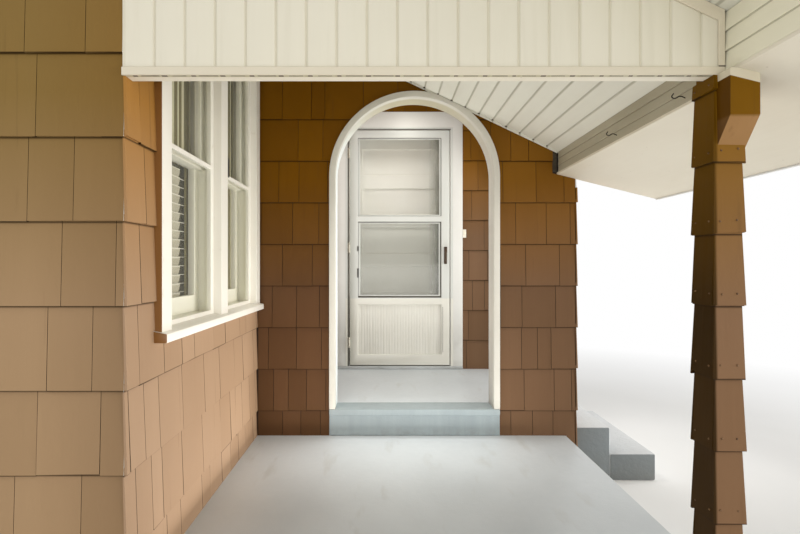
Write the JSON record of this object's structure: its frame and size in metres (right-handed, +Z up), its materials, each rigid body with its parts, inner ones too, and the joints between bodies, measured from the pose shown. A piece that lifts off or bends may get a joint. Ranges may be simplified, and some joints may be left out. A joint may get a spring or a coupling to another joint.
{
  "type": "entrance porch",
  "caption": "Corner entrance porch of a shingled house: raised slab, clad post, grooved gable and ceiling, round arch, storm door and panelled house door.",
  "frame": {"origin": "on the ground, under the middle of the front arch, on the outer face of the arch wall", "axes": "+Z is up, +Y runs through the arch towards the house door, and +X runs along the arch wall towards the street"},
  "size_m": [3.191, 3.739, 3.8616],
  "materials": {
    "concrete": "weathered grey concrete",
    "floor_paint": "worn light grey floor paint on concrete",
    "riser_paint": "blue-grey floor paint on concrete",
    "wall_board": "framed and boarded wall, painted brown",
    "shingle_paint": "sawn wood shingles under brown satin paint",
    "white_trim": "cream-white gloss paint on wood",
    "soffit_board": "grooved white aluminium soffit boards",
    "eave_board": "cream painted flat board",
    "rough_timber": "sawn softwood",
    "roofing": "mineral-faced roof shingles",
    "window_paint": "white gloss paint on wood",
    "clear_glass": "clear window glass",
    "blind": "cream vertical blinds",
    "sill_paint": "grey painted sill",
    "storm_aluminium": "ivory enamelled aluminium",
    "bronze": "dark bronze finish",
    "door_paint": "white satin paint on a panelled door",
    "hinge_steel": "dull brass-coloured steel",
    "bell_plastic": "white plastic button"
  },
  "bodies": {
    "house": {"footing": "concrete", "porch_slab": "floor_paint", "entry_slab": "floor_paint", "arch_riser": "riser_paint", "arch_nosing": "floor_paint", "street_step_upper": "concrete", "street_step_lower": "concrete", "front_wall": "wall_board", "window_wall": "wall_board", "entry_side_wall": "wall_board", "arch_wall_left": "wall_board", "arch_wall_right": "wall_board", "arch_wall_head": "wall_board", "door_wall_left": "wall_board", "door_wall_right": "wall_board", "door_wall_head": "wall_board", "street_wall_piers": "wall_board", "street_wall_head": "wall_board", "front_shingles": "shingle_paint", "side_shingles": "shingle_paint", "arch_shingles": "shingle_paint", "entry_shingles": "shingle_paint", "street_shingles": "shingle_paint", "arch_casing": "white_trim", "street_arch_casing": "white_trim", "porch_post": "shingle_paint", "post_bracket": "shingle_paint", "front_beam": "eave_board", "side_beam": "eave_board", "beam_cladding": "soffit_board", "gable_frame": "eave_board", "gable_boards": "soffit_board", "gable_trim": "white_trim", "porch_ceiling": "soffit_board", "ceiling_battens": "rough_timber", "ceiling_trim": "white_trim", "eave_soffit": "eave_board", "gable_soffit": "soffit_board", "fascia_boards": "white_trim", "roof_rafters": "rough_timber", "roof_deck": "rough_timber", "roof_covering": "roofing", "entry_ceiling": "eave_board", "entry_roof": "white_trim", "window_frame": "window_paint", "window_sill": "window_paint", "window_sashes": "window_paint", "storm_windows": "window_paint", "window_glass": "clear_glass", "window_blinds": "blind", "door_frame": "door_paint", "door_casing": "white_trim", "door_hinges": "hinge_steel", "threshold": "sill_paint", "door_bell": "bell_plastic"},
    "storm_door": {"storm_door": "storm_aluminium", "storm_glass": "clear_glass", "storm_kick_panel": "storm_aluminium", "storm_handle": "bronze"},
    "house_door": {"house_door": "door_paint"}
  },
  "joints": [
    {"name": "storm_door_hinge", "type": "hinge", "parent": "house", "child": "storm_door", "pos_m": [-0.4995, 1.28359, 0.577], "axis": [0, 0, -1], "range_deg": [0, 90]},
    {"name": "house_door_hinge", "type": "hinge", "parent": "house", "child": "house_door", "pos_m": [-0.5, 1.47866, 0.59], "axis": [0, 0, 1], "range_deg": [0, 90]}
  ]
}
